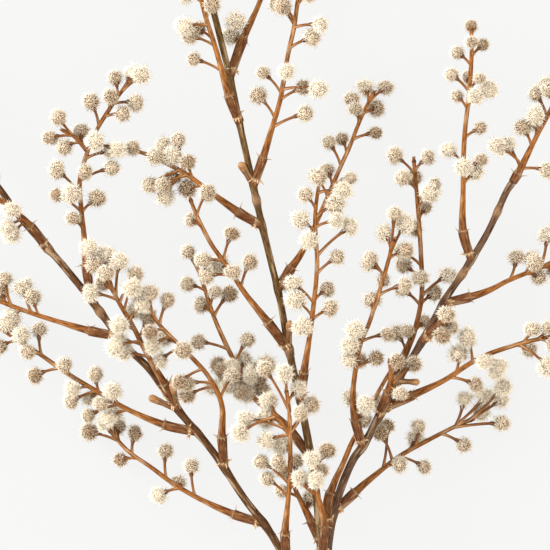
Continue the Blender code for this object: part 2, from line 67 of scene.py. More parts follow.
# Driving dimensions, in metres
MM = 0.001
SQUARE = 0.5 * MM
SHEET = 550 * SQUARE
GAP = 0.3 * MM
HEAD_RADIUS = 4.4 * MM
HEAD_SIZES = (0.92, 1.04)
REST_HEIGHT = 3.7 * MM
LOW_TWIG = 14 * MM
SETTLING = 2.5 * MM
STALK_RADIUS = 0.85 * MM
STALK_LEAN = 0.8
STALK_BARE_SHARE = 0.35
BARE_ABOVE_RING = 3 * MM
BARE_ABOVE_FORK = 1 * MM
STALK_REACHES = tuple(reach * MM for reach in (7.6, 6.6, 8.8, 5.8, 10.0, 11.5))
OWN_HEADS_APART = 7.4 * MM
OWN_ROOM = 0.5
SLEEVE_RADIUS = 2.3 * MM
RING_RADIUS = 2.6 * MM
RING_LIP = 1.0 * MM
TOP_RING = 5 * MM
CONE_RADIUS = 2.0 * MM
CONE_LENGTH = 17 * MM
CONE_SHARE = 0.5
TWIG_RADIUS = 1.3 * MM
TIP_RADIUS = 0.95 * MM
FORK_RADIUS = 1.1 * MM
PEG_RADIUS = 1.5 * MM
STEPS_TO_KNOT = 8
LINE_STEP = 0.25 * MM
BALL_STEP = 1.5 * MM
FIRST_BALL = 6 * MM
ALTERNATE_STEP = 9 * MM
ALTERNATE_REACHES = tuple(reach * MM for reach in (4.5, 5.6, 6.7))
SEED = 7

# The main stem, which runs on as the middle leader, and the left and right leaders, which leave it: radii
# in millimetres, evenly spread from foot to tip, and points
Leader = namedtuple("Leader", "radii points")
LEADERS = {
    "middle": Leader(
        (2.9, 2.6, 2.15, 1.8, 1.7, 1.55),
        [(318, 985, 2.75), (319, 925, 2.75), (320, 880, 5), (323, 790), (326, 700), (327, 620),
         (326, 570, 27), (321, 540), (316, 490), (308, 440, 38), (300, 400), (288, 345), (280, 300, 45),
         (268, 250), (262, 225, 47), (252, 180), (240, 125), (232, 85, 49), (222, 45), (213, 10),
         (203, -20, 50), (196, -50, 49)]),
    "left": Leader(
        (2.1, 1.95, 1.85, 1.8, 1.75, 1.6),
        [(327, 628, 23), (300, 585), (270, 533), (245, 500, 34), (222, 465), (205, 442), (178, 410),
         (150, 370, 38), (125, 345), (95, 305, 37), (60, 262), (22, 220), (0, 190, 33), (-24, 160),
         (-42, 138, 31)]),
    "right": Leader(
        (2.15, 2.0, 1.85, 1.75, 1.7),
        [(326, 585, 26), (329, 540), (338, 498), (352, 462), (365, 443, 38), (385, 405), (398, 380),
         (420, 345, 40), (445, 300), (465, 270), (488, 232, 39), (505, 195), (513, 182, 38)]),
}

# Cut-back pegs: a leader, the peg's root and its end
PEGS = [
    ("middle", (292, 345), (290, 321, 50)),
    ("middle", (253, 184), (240, 163, 52)),
    ("left", (178, 409), (149, 397, 35)),
    ("right", (398, 381), (419, 382, 44)),
    ("middle", (207, -8), (196, -22, 55)),
]

# A spray, whose name begins with its leader's: its route from the foot over the ring outward, its heads in
# plan, how many more follow one another up to its tip, its side twigs, and the share of a full head's size
Plan = namedtuple("Plan", "route heads more forks head_share", defaults=((), 0, (), 1))
SPRAYS = {
    "left_1": Plan(
        [(194, 434), (164, 425), (128, 410), (97, 392), (70, 376), (35, 352), (10, 336, 18), (-18, 318),
         (-45, 306, 10)],
        [(108, 418), (100, 404), (112, 392), (70, 402), (88, 416), (72, 390), (95, 375), (64, 365),
         (34, 376), (38, 330), (20, 335), (9, 318), (27, 352), (-2, 347)], more=4),
    "left_2": Plan(
        [(224, 468), (222, 436, 44), (222, 405), (210, 378), (190, 355), (163, 328), (147, 306, 62)],
        [(188, 383), (190, 397), (232, 375), (184, 350), (150, 352), (165, 338), (155, 370), (168, 300),
         (150, 293), (140, 300)]),
    "left_3": Plan(
        [(178, 408), (164, 383, 47), (148, 355, 54), (133, 325), (120, 303), (110, 281, 65)],
        [(90, 248), (95, 265), (120, 262), (107, 273), (92, 293), (103, 283), (136, 274), (133, 288),
         (120, 325), (120, 340), (125, 352), (143, 304), (149, 317)]),
    "left_4": Plan(
        [(91, 300), (86, 265, 41), (84, 235), (81, 205), (80, 180), (86, 157), (97, 130), (118, 97),
         (130, 82, 48)],
        [(141, 76), (132, 74), (115, 78), (111, 97), (136, 103), (123, 114), (91, 102), (59, 118),
         (50, 138), (64, 147), (81, 131), (96, 142), (110, 151), (112, 168), (57, 170), (86, 172),
         (57, 195), (97, 198), (73, 218)], forks=[[(87, 152), (75, 137), (62, 130)]]),
    "left_5": Plan(
        [(117, 337), (90, 331), (52, 320), (27, 312), (0, 302, 17), (-32, 288), (-50, 276, 10)],
        [(32, 297), (22, 288), (10, 320), (3, 279)], more=4),
    "left_6": Plan(
        [(263, 524), (234, 515), (200, 500), (172, 484), (150, 468), (127, 452), (107, 430, 9)],
        [(191, 467), (177, 484), (158, 496), (165, 452), (119, 461), (134, 434), (88, 433), (113, 415),
         (104, 422), (117, 428)]),
    "left_7": Plan(
        [(286, 562), (285, 533, 40), (288, 500, 50), (290, 470), (290, 440), (289, 410), (286, 388, 70)],
        [(267, 478), (261, 461), (278, 461), (267, 440), (240, 432), (246, 418), (315, 480), (300, 478),
         (268, 400), (266, 418), (300, 412), (311, 404), (298, 388), (265, 368), (285, 373)],
        forks=[[(290, 436), (282, 422), (272, 412)], [(290, 432), (297, 422), (303, 414)]]),
    "left_8": Plan(
        [(46, 248), (30, 226, 42), (15, 212, 44), (-5, 196), (-22, 184, 46)],
        [(12, 210), (12, 235), (-8, 178), (-22, 200), (-32, 178)]),
    "left_top": Plan(
        [(-42, 138), (-56, 118, 30), (-66, 95), (-74, 70), (-80, 45, 26)], more=5),
    "middle_1": Plan(
        [(253, 186), (263, 158, 50), (270, 135), (279, 105), (283, 85), (288, 55), (294, 28), (298, 0),
         (304, -30), (312, -58, 60)],
        [(258, 96), (263, 73), (286, 73), (303, 88), (317, 90), (305, 114), (312, 38), (321, 28), (283, 8),
         (277, 5)], more=5),
    "middle_2": Plan(
        [(231, 76), (243, 39, 44), (257, 8), (268, -22), (276, -50), (283, -78, 10)],
        [(236, 22)], more=5),
    "middle_3": Plan(
        [(239, 122), (229, 96, 56), (216, 50, 59), (205, 15), (198, -12), (186, -42, 62)],
        [(190, 37), (194, 60), (185, 28)], more=5),
    "middle_4": Plan(
        [(262, 226), (238, 212, 46), (205, 188), (185, 173), (155, 158), (140, 152), (124, 150, 36)],
        [(133, 148), (178, 140), (163, 146), (155, 157), (188, 162), (150, 185), (163, 185), (172, 178),
         (165, 196), (187, 188), (208, 195)]),
    "middle_5": Plan(
        [(289, 350), (268, 322, 48), (245, 293), (228, 267), (212, 245), (198, 218), (190, 198, 55)],
        [(232, 234), (208, 192), (191, 220), (220, 265), (233, 272), (207, 275), (203, 260), (250, 262)]),
    "middle_6": Plan(
        [(311, 458), (285, 425), (256, 400), (247, 385), (231, 355), (215, 320), (205, 290), (198, 270),
         (191, 257, 28)],
        [(188, 252), (187, 284), (201, 305), (215, 292), (229, 294), (198, 342), (247, 340), (218, 365),
         (232, 375), (243, 360), (250, 377), (262, 390), (240, 392), (225, 383), (213, 388), (264, 368)]),
    "middle_7": Plan(
        [(300, 400), (304, 372, 50), (309, 340, 54), (313, 310), (317, 265), (315, 220), (318, 190),
         (320, 180, 62)],
        [(305, 195), (318, 178), (300, 220), (309, 240), (335, 205), (338, 215), (343, 195), (350, 227),
         (337, 257), (327, 289), (330, 308), (296, 300), (305, 325), (293, 283)]),
    "middle_8": Plan(
        [(276, 290), (291, 268, 42), (303, 250), (322, 210), (340, 168), (350, 146), (362, 116),
         (375, 90, 10)],
        [(386, 86), (366, 86), (352, 98), (356, 108), (377, 107), (376, 132), (329, 142), (342, 138),
         (350, 178), (316, 176), (327, 170), (285, 283)]),
    "middle_9": Plan(
        [(323, 553), (324, 524, 47), (320, 503, 54), (315, 487), (311, 470, 60)],
        [(316, 478), (321, 470), (299, 476), (312, 458), (327, 450)],
        forks=[[(318, 495), (308, 488), (302, 480)]]),
    "middle_10": Plan(
        [(321, 545), (311, 522, 25), (304, 508), (297, 494), (290, 478, 21)],
        [(281, 470), (296, 462), (310, 500), (282, 492)]),
    "middle_top": Plan(
        [(196, -50), (192, -70, 49), (190, -90), (192, -112), (197, -135, 44)], more=5),
    "right_1": Plan(
        [(472, 260), (463, 231, 41), (463, 190), (464, 140), (468, 100), (471, 60), (471, 27, 50)],
        [(471, 26), (471, 43), (483, 45), (457, 53), (451, 75), (468, 77), (479, 79), (489, 90), (475, 97),
         (457, 96), (480, 128), (448, 150), (463, 167), (475, 172), (481, 160)], head_share=0.8),
    "right_2": Plan(
        [(443, 303), (470, 297), (490, 290), (510, 280), (545, 266), (575, 252), (600, 244, 11)],
        [(517, 257), (535, 262), (548, 235), (540, 277)], more=5),
    "right_3": Plan(
        [(383, 408), (413, 395), (445, 380), (480, 358), (520, 344), (545, 338, 30), (580, 330),
         (602, 322, 22)],
        [(459, 354), (465, 337), (476, 385), (500, 365), (485, 362), (530, 350), (548, 367), (548, 328)],
        more=5),
    "right_4": Plan(
        [(335, 512), (355, 493), (370, 480), (400, 457), (427, 442), (457, 427), (475, 420, 10)],
        [(387, 427), (380, 432), (400, 465), (425, 468), (419, 427), (416, 440), (465, 446), (465, 400),
         (483, 413), (487, 397), (505, 392), (500, 403), (503, 424)]),
    "right_5": Plan(
        [(363, 447), (355, 420, 43), (353, 400), (354, 380), (360, 345), (370, 320), (384, 275),
         (394, 238, 58)],
        [(355, 330), (350, 345), (360, 360), (376, 358), (387, 334), (383, 280), (370, 258), (404, 285),
         (384, 233), (394, 214), (404, 224), (405, 250), (372, 300), (350, 397), (366, 404), (363, 420)]),
    "right_6": Plan(
        [(394, 386), (404, 357, 33), (415, 330, 31), (422, 295), (421, 250), (418, 205), (415, 170),
         (414, 158, 30)],
        [(395, 155), (428, 157), (403, 178), (415, 177), (435, 185), (430, 193), (426, 207), (415, 228),
         (403, 252), (404, 265), (420, 278), (448, 275), (435, 293), (402, 289), (407, 331), (397, 333),
         (425, 322)]),
    "right_7": Plan(
        [(422, 341), (441, 324, 44), (452, 312, 48)],
        [(442, 336), (451, 327), (446, 314)]),
    "right_8": Plan(
        [(379, 416), (388, 392, 47), (391, 376), (389, 359, 50)],
        [(397, 361), (378, 405), (400, 393), (414, 364)]),
    "right_top": Plan(
        [(513, 182), (520, 170, 37), (530, 150), (540, 130), (550, 112), (562, 85), (570, 55, 30)],
        [(508, 145), (523, 127), (536, 122), (536, 93), (547, 170), (548, 90)], more=5),
}


class Line:
    """A smooth line through given points, read by the distance along it."""

    def __init__(self, points):
        self.knots = np.array(points, float)
        steps = np.arange(STEPS_TO_KNOT) / STEPS_TO_KNOT
        first, last = self.knots[:2], self.knots[-2:]
        ends = np.vstack([2 * first[0] - first[1], self.knots, 2 * last[1] - last[0]])
        places = []
        for before, start, end, after in zip(ends, ends[1:], ends[2:], ends[3:]):
            for t in steps:
                bend = (2 * before - 5 * start + 4 * end - after) * t * t
                turn = (3 * start - before - 3 * end + after) * t * t * t
                places.append(0.5 * (2 * start + (end - before) * t + bend + turn))
        places.append(self.knots[-1])
        self.places = np.array(places)
        self.marks = np.concatenate([[0], np.cumsum(np.linalg.norm(np.diff(self.places, axis=0), axis=1))])
        self.length = self.marks[-1]
        self.knot_marks = self.marks[::STEPS_TO_KNOT]

    def at(self, mark):
        return Vector([np.interp(mark, self.marks, column) for column in self.places.T])

    def along(self, mark):
        ahead = self.at(min(mark + 2 * LINE_STEP, self.length))
        return (ahead - self.at(max(mark - 2 * LINE_STEP, 0))).normalized()

    def nearest(self, x, y):
        """The distance along the line to its point nearest to x, y in plan."""
        marks = np.arange(0, self.length, LINE_STEP)
        flat = [np.interp(marks, self.marks, column) for column in self.places.T[:2]]
        return float(marks[np.argmin(np.hypot(flat[0] - x, flat[1] - y))])


def on_sheet(x, y):
    return x * SQUARE, SHEET - y * SQUARE


def laid_out(points, first_height=None):
    """Sheet points as places in metres, with the heights between those given filled in evenly."""
    flat = np.array([on_sheet(*point[:2]) for point in points])
    marks = np.concatenate([[0], np.cumsum(np.linalg.norm(np.diff(flat, axis=0), axis=1))])
    known = [(mark, point[2] * MM) for mark, point in zip(marks, points) if len(point) > 2]
    if first_height is not None:
        known.insert(0, (0, first_height))
    heights = np.interp(marks, *zip(*known))
    return np.column_stack([flat, heights])


def leader_radius(leader, mark):
    radii = LEADERS[leader].radii
    return float(np.interp(mark / LINES[leader].length, np.linspace(0, 1, len(radii)), radii)) * MM


def cone_end(spray):
    return spray["ring"] + min(CONE_LENGTH, CONE_SHARE * (spray["line"].length - spray["ring"]))


def spray_radius(spray, mark):
    """The sleeve as far as the ring, then a cone, then the slim twig."""
    ring = spray["ring"]
    marks = (0, ring, ring + RING_LIP, cone_end(spray), spray["line"].length)
    radii = (SLEEVE_RADIUS, RING_RADIUS, CONE_RADIUS, TWIG_RADIUS, TIP_RADIUS)
    return float(np.interp(mark, marks, radii))


def leader_of(name):
    return name.split("_")[0]


def line_from(parent, route):
    """A line that starts on its parent's axis, and the mark on the parent where it does."""
    mark = parent.nearest(*on_sheet(*route[0]))
    start = parent.at(mark)
    places = laid_out(route, start.z)
    places[0] = start
    return Line(places), mark


def laid_spray(name):
    """A spray's axis, the mark where it leaves its leader, and the mark of its ring."""
    leader = LINES[leader_of(name)]
    line, mark = line_from(leader, SPRAYS[name].route)
    ring = TOP_RING if mark > leader.length - 2 * LINE_STEP else line.knot_marks[1]
    return {"name": name, "line": line, "ring": ring, "leader_mark": mark}


class Room:
    """The space already taken, as balls with the number of the piece they belong to.

    A piece's number with OWN_ROOM added is for the room that its own heads leave each other.
    """

    def __init__(self):
        self.balls = np.zeros((0, 5))

    def take(self, balls, owner):
        rows = [(*place, radius, owner) for place, radius in balls]
        self.balls = np.vstack([self.balls, rows])

    def clearance(self, balls, owner, same=False):
        """The narrowest gap from the balls to another piece, or to the same piece."""
        mine = self.balls[:, 4] == owner
        others = self.balls[mine if same else ~mine]
        if not len(others):
            return math.inf
        places = np.array([tuple(place) for place, _ in balls])
        radii = np.array([radius for _, radius in balls])
        apart = np.linalg.norm(places[:, None] - others[None, :, :3], axis=2)
        return float((apart - radii[:, None] - others[None, :, 3]).min())


def balls_along(line, radius_at, start=0.0):
    marks = np.arange(start, line.length + BALL_STEP / 2, BALL_STEP)
    return [(line.at(mark), radius_at(mark)) for mark in marks]


def balls_between(start, end, radius):
    count = max(2, math.ceil((end - start).length / BALL_STEP))
    return [(start.lerp(end, i / count), radius) for i in range(count + 1)]


def following_heads(line, count):
    """Plan places of heads that follow one another on alternate sides up to the tip."""
    places = []
    for i in range(count):
        mark = max(line.length - i * ALTERNATE_STEP, 0)
        side = (-1) ** i * ALTERNATE_REACHES[i % len(ALTERNATE_REACHES)]
        tangent = line.along(mark)
        place = line.at(mark) + side * Vector((-tangent.y, tangent.x, 0))
        places.append((place.x, place.y))
    return places


def nearest_axis(spray, place):
    """The spray's axis or side twig that runs nearest to a place in plan."""
    axes = (spray["line"], *spray["forks"])
    return min(axes, key=lambda line: (line.at(line.nearest(*place)).xy - Vector(place)).length)


def grown_head(spray, owner, place, room, draw):
    """The first stalk and head for a place in plan that keeps clear of all that is there already."""
    axis = nearest_axis(spray, place)
    mark = axis.nearest(*place)
    beside = axis.at(mark)
    offset = (beside.xy - Vector(place)).length
    size = HEAD_RADIUS * SPRAYS[spray["name"]].head_share * draw.uniform(*HEAD_SIZES)
    first_side = draw.choice((1, -1)) if beside.z > LOW_TWIG else -1
    lowest_root = spray["ring"] + BARE_ABOVE_RING if axis is spray["line"] else BARE_ABOVE_FORK
    for strict, reach, side in product((True, False), STALK_REACHES, (first_side, -first_side)):
        across = max(reach, offset)
        height = beside.z + side * math.sqrt(across ** 2 - offset ** 2)
        rests = height < size + SETTLING
        centre = Vector((*place, REST_HEIGHT * size / HEAD_RADIUS if rests else height))
        root_mark = max(mark - STALK_LEAN * across, min(lowest_root, axis.length))
        root = axis.at(root_mark)
        stalk = balls_between(root.lerp(centre, STALK_BARE_SHARE), centre, STALK_RADIUS)
        if room.clearance([(centre, size), *stalk], owner) < GAP:
            continue
        own = room.clearance([(centre, OWN_HEADS_APART - size)], owner + OWN_ROOM, same=True)
        if strict and own < 0:
            continue
        turn = draw.uniform(0, math.tau)
        return {"root": root, "centre": centre, "size": size, "turn": turn, "along": axis.along(root_mark)}
    return None


def laid_branch():
    """All sprays with their heads, placed one after another so that none crosses another piece."""
    room = Room()
    for name, line in LINES.items():
        room.take(balls_along(line, lambda mark: leader_radius(name, mark)), 0)
    sprays = [laid_spray(name) for name in SPRAYS]
    for owner, spray in enumerate(sprays, 1):
        plan = SPRAYS[spray["name"]]
        line = spray["line"]
        room.take(balls_along(line, lambda mark: spray_radius(spray, mark), FIRST_BALL), owner)
        spray["forks"] = []
        for fork in plan.forks:
            branch, _ = line_from(line, fork)
            spray["forks"].append(branch)
            room.take(balls_along(branch, lambda _: FORK_RADIUS), owner)
    draw = random.Random(SEED)
    for owner, spray in enumerate(sprays, 1):
        plan = SPRAYS[spray["name"]]
        places = [on_sheet(*head) for head in plan.heads]
        places += following_heads(spray["line"], plan.more)
        spray["heads"] = []
        for place in places:
            head = grown_head(spray, owner, place, room, draw)
            if head is None:
                continue
            spray["heads"].append(head)
            room.take([(head["centre"], head["size"])], owner)
            room.take([(head["centre"], OWN_HEADS_APART - head["size"])], owner + OWN_ROOM)
            room.take(balls_between(head["root"], head["centre"], STALK_RADIUS), owner)
    return sprays


# The wood's rings and relief: furrows as waves round it with their shares, slow swellings along it, and the
# run over which the relief of a peg or a stalk is drawn
SIDES_OF_STEM = 16
SIDES_OF_TWIG = 12
SIDES_OF_STALK = 6
SIDES_OF_SHRED = 4
STEM_RING_STEP = 1.2 * MM
TWIG_RING_STEP = 0.8 * MM
SIDEWAYS = (0.3, 0.2, 0.93)
FURROWS = ((2, 0.5), (3, 0.45), (5, 0.35))
FURROW_DRIFT = 40
SWELLING_STEP = 6 * MM
SWELLING_SHARE = 0.7
SHORT_RUN = 10 * MM
RELIEF = {"stem": 0.045, "knot": 0.4, "twig": 0.05, "peg": 0.12, "stalk": 0.06}

# Swollen nodes of the stem, the painted shade beyond a spray's foot, the stem's tips, its pale cut face, and
# the span above the cut within which the stem's width is read
KNUCKLE_HEIGHT = 0.35 * MM
KNUCKLE_REACH = 3.5 * MM
KNOT_HEIGHT = 0.5 * MM
KNOT_REACH = 2.6 * MM
KNOT_PALE = 0.25
KNOT_TUFTS = 4
KNOT_SPREAD = 4 * MM
FOOT_PAINTED_SHADE = 0.9
FOOT_PAINTED_SHADE_AT = 3 * MM
FOOT_PAINTED_SHADE_REACH = 2.2 * MM
STEM_TIP = 0.8 * MM
STEM_TIP_SHARE = 0.6
CUT_FACE_SHARE = 0.9
CUT_FACE_DEPTH = 0.15 * MM
CUT_SPAN = 2 * MM

# Pegs in the scene alone, and a peg's shape and facts at its stations
MORE_PEGS = [("left", (183, 406), (172, 382, 53))]
PEG_STATIONS = 13
PEG_SHAPE = ((0, 0.5, 0.75, 0.88, 0.97, 1), (1.2, 0.95, 1.2, 1.3, 1.15, 0.6))
PEG_PALE = (0.05, 0.3)
PEG_OLD = 0.7
PEG_OLD_END = 0.6
PEG_DARK = 0.6

# Twigs: the collar at the foot, the pale edges of collar and ring, the bud at the tip, and the redness
COLLAR_MARK = 3.2 * MM
COLLAR_LIP = 0.4 * MM
COLLAR_PALE = 0.45
COLLAR_REACH = 0.8 * MM
RING_PALE = 0.35
RING_REACH = 0.35 * MM
BUD_MARKS = np.array((0, 0.8, 1.6, 2.4)) * MM
BUD_SHAPE = (0.4, 1.0, 1.3, 1.0)
BUD_LENGTH = 0.5 * MM
TIP_DARK = 1.2
TIP_DARK_LENGTH = 2 * MM
REDNESS = (0.0, 0.7)
FORK_OLD = 0.05

# Stalks: radii at the root, at both ends of the slim part, at the cup under the head, and inside the head
STALK_STATIONS = 12
STALK_RADII = (0.95 * MM, 0.72 * MM, 0.72 * MM, 1.35 * MM, 0.85 * MM)
STALK_SLIM_FROM = 0.3
CUP_LENGTH = 0.1
CUP_DEPTH = 0.95
FIRST_CUP = 0.4
CUP_DARK = 1.5
CUP_DARK_LENGTH = 0.2
STALK_DARKER = 0.3
STALK_PALE = 0.04
STALK_SET_OFF = 0.45
STALK_BEND = 0.11

# Torn shreds of bark, with how far they lean along the wood and their facts
Shred = namedtuple("Shred", "count longest radius leans pale old")
SHREDS = {
    "ring": Shred(5, 3.8 * MM, 0.26 * MM, (-0.2, 0.8), 0.75, 0),
    "collar": Shred(10, 3.4 * MM, 0.6 * MM, (-1.2, 0.9), 1.0, 0),
    "strip": Shred(4, 7.5 * MM, 0.6 * MM, (0.8, 2.4), 0.9, 0),
    "flake": Shred(3, 2.4 * MM, 0.55 * MM, (1.2, 4.0), 0.35, 0),
    "bud": Shred(4, 1.9 * MM, 0.5 * MM, (2.5, 5.0), 0.15, 0),
    "scale": Shred(1, 1.5 * MM, 0.4 * MM, (2.0, 4.0), 0.2, 0.75),
}
SHRED_PLACES = np.array((0, 0.5, 0.85, 1.0))
SHRED_TAPER = np.array((1, 0.7, 0.35, 0.08))
SHRED_BEND = 0.18
SHRED_RISE = (0.4, 0.1)
SHRED_LENGTHS = (0.35, 1.0)
SHRED_OUTS = (0.4, 1.0)
SHRED_UNEVEN = 0.4
SHRED_ROOT = 0.85
SCALES = 40
FIRST_SCALE = 0.1
STRIPPED_SLEEVES = {"left_3": (1, 3, 5, 7, 9, 11)}

# Nodes where old bark hangs on in flakes: a leader and a place on it
FLAKY_NODES = [("left", (48, 248)), ("right", (497, 212)), ("right", (399, 380)), ("middle", (290, 350)),
               ("middle", (258, 200)), ("left", (100, 312)), ("right", (463, 275))]

# Flower heads, for a ball of radius 1: the core, its fibres, how they gather and stray, and their facts,
# which set the painted shade on the side away from the light and deep among the fibres
Fluff = namedtuple("Fluff", "core fibres tufts pull stray reach width wear heart root")
HEAD_KINDS = {
    "short": Fluff(0.71, 510, 150, 0.25, 0.10, (0.92, 1.34), 0.036, 1.0, 0.0, 0.3),
    "loose": Fluff(0.68, 540, 80, 0.25, 0.16, (0.92, 1.42), 0.038, 0.45, 0.37, 0.42),
    "wisp": Fluff(0.3, 100, 16, 0.5, 0.4, (0.5, 1.3), 0.06, 0.3, 0.4, 0.6),
}
FINE_CORE_FIBRES = 400
CORE_UNEVEN = (0.93, 1.07)
ROOT_DEPTH = 0.06
HEAD_FORMS = 4
SHORT_SIZES = (0.97, 1.13)
LOOSE_SIZES = (0.95, 1.25)
UNROUND = (0.9, 1.1)
WISP_SHARE = 0.75
WISP_OFFSET = 0.85
WISP_FLATNESS = (1, 1, 0.4)
LOOSE_SHARE = 0.12
LOOSE_TONE = 0.15
BROWN_TONE = 0.8
MOST_TONE = 0.6
# Painted shade on each head's side away from the key light: the lit direction, and where and how fast it
# rises
PAINTED_LIT_SIDE = np.array((-0.72, 0.42, 0.55))
PAINTED_SHADE_MIDDLE = 0.5
PAINTED_SHADE_SPAN = 0.6

# Places on the sheet where a head nearer than NEAR squares has burst into pale fibres or has turned brown
NEAR = 8
BURST = [(10, 210), (10, 233), (91, 247), (120, 262), (90, 293), (133, 288), (120, 325), (125, 352),
         (120, 340), (143, 304), (158, 496), (113, 415), (104, 422), (72, 390), (112, 392), (20, 335),
         (22, 288), (95, 142), (132, 74), (141, 76), (236, 22), (286, 73), (268, 400), (266, 418),
         (285, 373), (298, 388), (267, 440), (299, 476), (316, 478), (312, 458), (350, 345), (355, 330),
         (366, 404), (350, 397), (335, 205), (350, 227), (300, 220), (293, 283), (296, 300), (489, 90),
         (475, 97), (463, 167), (448, 150), (475, 172), (508, 145), (536, 122), (548, 367), (500, 365),
         (487, 397), (483, 413), (459, 354), (243, 360), (225, 383), (250, 377), (165, 338), (163, 146),
         (430, 193)]
BROWN = [(57, 195), (187, 188), (187, 162), (155, 338), (376, 358), (442, 336), (414, 364), (397, 361),
         (327, 450), (387, 427), (471, 26), (483, 45), (34, 376), (229, 294), (88, 433), (232, 234),
         (303, 88), (119, 461), (134, 434), (376, 132), (187, 396), (180, 381), (380, 433), (259, 380),
         (222, 371)]

# Heads that lie closer together than the solid balls could, for each spray
MORE_HEADS = {
    "left_1": [(89, 399)],
    "left_2": [(187, 396), (180, 382), (151, 332), (153, 346), (160, 361)],
    "left_3": [(143, 304), (106, 256), (116, 347), (136, 311)],
    "left_4": [(72, 194), (118, 150)],
    "left_5": [(10, 320)],
    "left_7": [(240, 432), (282, 444), (315, 480)],
    "left_8": [(8, 228)],
    "middle_1": [(318, 90), (320, 26)],
    "middle_2": [(231, 36)],
    "middle_3": [(185, 28)],
    "middle_4": [(165, 196), (172, 156)],
    "middle_6": [(213, 388), (266, 364), (232, 366), (240, 385), (222, 371), (259, 380), (247, 394),
                 (228, 386), (253, 370), (270, 402)],
    "middle_7": [(342, 191), (336, 221), (302, 327)],
    "middle_9": [(327, 450)],
    "right_3": [(467, 338), (497, 372)],
    "right_4": [(380, 433), (504, 388), (503, 400)],
    "right_5": [(368, 264), (350, 360)],
    "right_9": [(377, 404)],
    "right_top": [(497, 146)],
}
LIFTS = tuple(lift * MM for lift in (0, 3, -3, 5, -5))
LONGEST_LEAN = 3 * MM

# A twig that runs behind the right leader, and the mark of its torn ring
HIDDEN_TWIG = [(331, 525, 31), (328, 505, 34), (334, 484), (343, 464, 37), (352, 443, 34), (362, 425, 32),
               (371, 407, 31), (381, 388, 31), (395, 364, 32)]
HIDDEN_RING = 17 * MM

# Colours, as linear numbers
TWIG_COLOUR = (0.292, 0.114, 0.027, 1)
TWIG_DARK = (0.085, 0.024, 0.006, 1)
SLEEVE_COLOUR = (0.145, 0.055, 0.018, 1)
STEM_COLOURS = {
    "middle": (0.108, 0.060, 0.018, 1),
    "left": (0.090, 0.039, 0.013, 1),
    "right": (0.100, 0.053, 0.029, 1),
}
PALE_TEAR = (0.60, 0.42, 0.24, 1)
STREAK_DARK = (0.29, 0.19, 0.105, 1)
# The next colour is painted shade deep among the fibres, blended out towards the cream tips
FIBRE_PAINTED_SHADE = (0.14, 0.09, 0.056, 1)
FIBRE_MIDDLE = (0.70, 0.585, 0.44, 1)
FIBRE_TIP = (0.94, 0.865, 0.72, 1)
# Painted shade on the side of a head away from the light
PAINTED_SHADE_TINT = (0.72, 0.60, 0.46, 1)
WARM_TINT = (0.53, 0.405, 0.285, 1)

# How old each kind of wood is, as its place on the scale that the bark's colours lie on
OLD_TONES = {"middle": 0.1, "left": 0.5, "right": 0.9}
SLEEVE_TONE = 0.75

# Grain of the materials: the scale and detail of each noise, the values between which a noise or fact rises
# with the greys there, and the shares of the layers
WHITE = (1, 1, 1, 1)
GRAIN_STRETCH = (1, 1, 0.16)
STREAK_GRAIN = (1500, 4.0)
PATCH_GRAIN = (420, 3.0)
SPECK_GRAIN = (1500, 1.0)
MOTTLE_GRAIN = (1700, 1.0)
BLOTCH_GRAIN = (700, 2.0)
OLD_RISE = (0.03, 0.1)
STREAK_RISE = (0.36, 0.58)
PATCH_RISE = (0.56, 0.66, 0.0, 0.45)
SPECK_RISE = (0.27, 0.33, 0.6)
TEAR_RISE = (0.35, 0.6, 0.45)
MOTTLE_RISE = (0.43, 0.55)
FIBRE_RISE = (0.28, 0.7)
BLOTCH_RISE = (0.35, 0.6)
INNER_RISE = (0.25, 0.9, 1.0, 0.2)
TONE_RISE = (0.2, 0.9)
TWIG_DARK_SHARE = 0.6
STREAK_SHARE = 0.9
PATCH_SHARE = 0.8
SPECK_SHARE = 0.8
BLOTCH_SHARE = 0.7
# The share of painted shade on a head's side away from the light, besides the blotches
PAINTED_SHADE_SHARE = 0.45
BUMP_SHARE = 0.5
BUMP_HEIGHT = 0.3 * MM
BARK_ROUGHNESS = 0.62
FIBRE_ROUGHNESS = 0.95
DULLNESS = 0.1

# The floor, the lights from the middle of the sheet with their size, power and colour, and the camera
FLOOR_SIZE = 20
FLOOR_DROP = 0.2 * MM
FLOOR_COLOUR = (0.04, 0.04, 0.04, 1)
FLOOR_ROUGHNESS = 0.9
FLOOR_GLOW_COLOUR = (1.0, 1.0, 0.995, 1)
FLOOR_GLOW = 0.84
LIGHTS = {
    "key": ((-3.5, 1.7, 2.4), 1.6, 205, (1.0, 0.97, 0.93)),
    "fill": ((1.2, -0.4, 2.0), 2.0, 5, (1.0, 0.98, 0.95)),
}
SKY_COLOUR = (0.995, 0.985, 0.96, 1)
SKY_STRENGTH = 1.9
SENSOR_WIDTH = 36
CAMERA_SIGHT = 20
CAMERA_HEIGHT = 4.5
MEAN_HEIGHT = 40 * MM


def sheet_corner():
    """Where the sheet's lower left corner lies in the frame, found from the stem's cut end."""
    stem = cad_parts["stem"]
    places = [stem.matrix_world @ vertex.co for vertex in stem.data.vertices]
    low = min(place.y for place in places)
    across = [place.x for place in places if place.y < low + CUT_SPAN]
    x, y = on_sheet(*LEADERS["middle"].points[0][:2])
    return np.array(((min(across) + max(across)) / 2 - x, low - y, 0))


